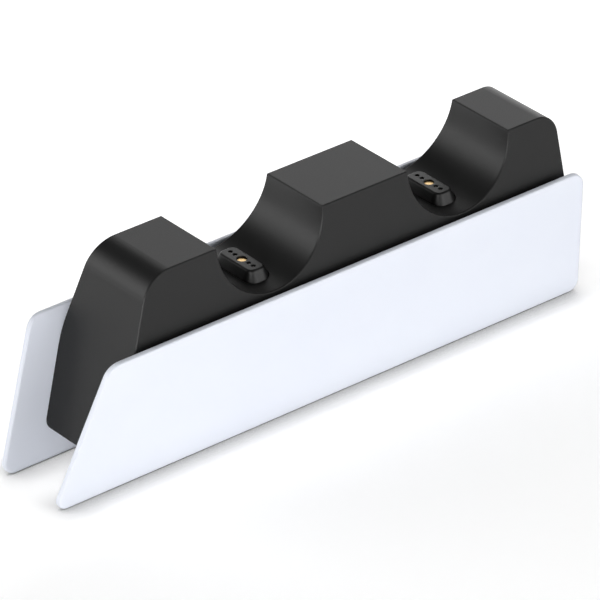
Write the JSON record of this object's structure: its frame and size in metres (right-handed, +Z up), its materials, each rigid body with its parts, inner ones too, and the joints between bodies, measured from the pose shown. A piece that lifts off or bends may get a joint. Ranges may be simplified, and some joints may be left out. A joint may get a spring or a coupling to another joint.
{
  "type": "controller charging dock",
  "caption": "Charging dock for game controllers: a black body with half-round saddles and contact heads between white side panels.",
  "frame": {"origin": "on the surface it stands on, under the middle of its overall length and width", "axes": "+X along the dock to its far end, +Y across it, +Z up"},
  "size_m": [0.2376, 0.0458, 0.0775],
  "materials": {
    "black_shell": "fine matte moulded ABS, charcoal black",
    "white_panel": "smooth satin moulded ABS, cool white",
    "head_plastic": "fine matte moulded ABS",
    "gilt": "gold-plated brass, polished",
    "nickel": "nickel-plated brass",
    "spring_steel": "drawn stainless wire",
    "board": "glass-epoxy laminate, green solder mask",
    "chip": "moulded epoxy",
    "ferrite": "moulded ferrite composite",
    "can": "drawn aluminium can",
    "socket_steel": "folded stainless sheet",
    "screw_steel": "zinc-plated steel",
    "rubber": "moulded silicone rubber"
  },
  "bodies": {
    "dock": {"upper_housing": "black_shell", "bottom_cover": "black_shell", "front_panel": "white_panel", "rear_panel": "white_panel", "main_board": "board", "charge_controllers": "chip", "power_inductors": "ferrite", "capacitors": "can", "usb_socket_shell": "socket_steel", "usb_socket_tongue": "chip", "cover_screws": "screw_steel", "panel_screws": "screw_steel", "board_screws": "screw_steel", "foot_strips": "rubber", "near_contact_head": "head_plastic", "near_centre_contact": "gilt", "near_pin_barrels": "nickel", "near_pin_spring_1": "spring_steel", "near_pin_spring_2": "spring_steel", "near_pin_spring_3": "spring_steel", "near_pin_spring_4": "spring_steel", "far_contact_head": "head_plastic", "far_centre_contact": "gilt", "far_pin_barrels": "nickel", "far_pin_spring_1": "spring_steel", "far_pin_spring_2": "spring_steel", "far_pin_spring_3": "spring_steel", "far_pin_spring_4": "spring_steel"},
    "near_pin_1": {"near_pin_1": "nickel"},
    "near_pin_2": {"near_pin_2": "nickel"},
    "near_pin_3": {"near_pin_3": "nickel"},
    "near_pin_4": {"near_pin_4": "nickel"},
    "far_pin_1": {"far_pin_1": "nickel"},
    "far_pin_2": {"far_pin_2": "nickel"},
    "far_pin_3": {"far_pin_3": "nickel"},
    "far_pin_4": {"far_pin_4": "nickel"}
  },
  "joints": [
    {"name": "near_pin_1_slide", "type": "slide", "parent": "dock", "child": "near_pin_1", "axis": [0, 0, -1], "range_m": [0, 0.0008], "stiffness_N_per_m": 150, "springref_m": -0.0008, "deforming": ["near_pin_spring_1"]},
    {"name": "near_pin_2_slide", "type": "slide", "parent": "dock", "child": "near_pin_2", "axis": [0, 0, -1], "range_m": [0, 0.0008], "stiffness_N_per_m": 150, "springref_m": -0.0008, "deforming": ["near_pin_spring_2"]},
    {"name": "near_pin_3_slide", "type": "slide", "parent": "dock", "child": "near_pin_3", "axis": [0, 0, -1], "range_m": [0, 0.0008], "stiffness_N_per_m": 150, "springref_m": -0.0008, "deforming": ["near_pin_spring_3"]},
    {"name": "near_pin_4_slide", "type": "slide", "parent": "dock", "child": "near_pin_4", "axis": [0, 0, -1], "range_m": [0, 0.0008], "stiffness_N_per_m": 150, "springref_m": -0.0008, "deforming": ["near_pin_spring_4"]},
    {"name": "far_pin_1_slide", "type": "slide", "parent": "dock", "child": "far_pin_1", "axis": [0, 0, -1], "range_m": [0, 0.0008], "stiffness_N_per_m": 150, "springref_m": -0.0008, "deforming": ["far_pin_spring_1"]},
    {"name": "far_pin_2_slide", "type": "slide", "parent": "dock", "child": "far_pin_2", "axis": [0, 0, -1], "range_m": [0, 0.0008], "stiffness_N_per_m": 150, "springref_m": -0.0008, "deforming": ["far_pin_spring_2"]},
    {"name": "far_pin_3_slide", "type": "slide", "parent": "dock", "child": "far_pin_3", "axis": [0, 0, -1], "range_m": [0, 0.0008], "stiffness_N_per_m": 150, "springref_m": -0.0008, "deforming": ["far_pin_spring_3"]},
    {"name": "far_pin_4_slide", "type": "slide", "parent": "dock", "child": "far_pin_4", "axis": [0, 0, -1], "range_m": [0, 0.0008], "stiffness_N_per_m": 150, "springref_m": -0.0008, "deforming": ["far_pin_spring_4"]}
  ]
}
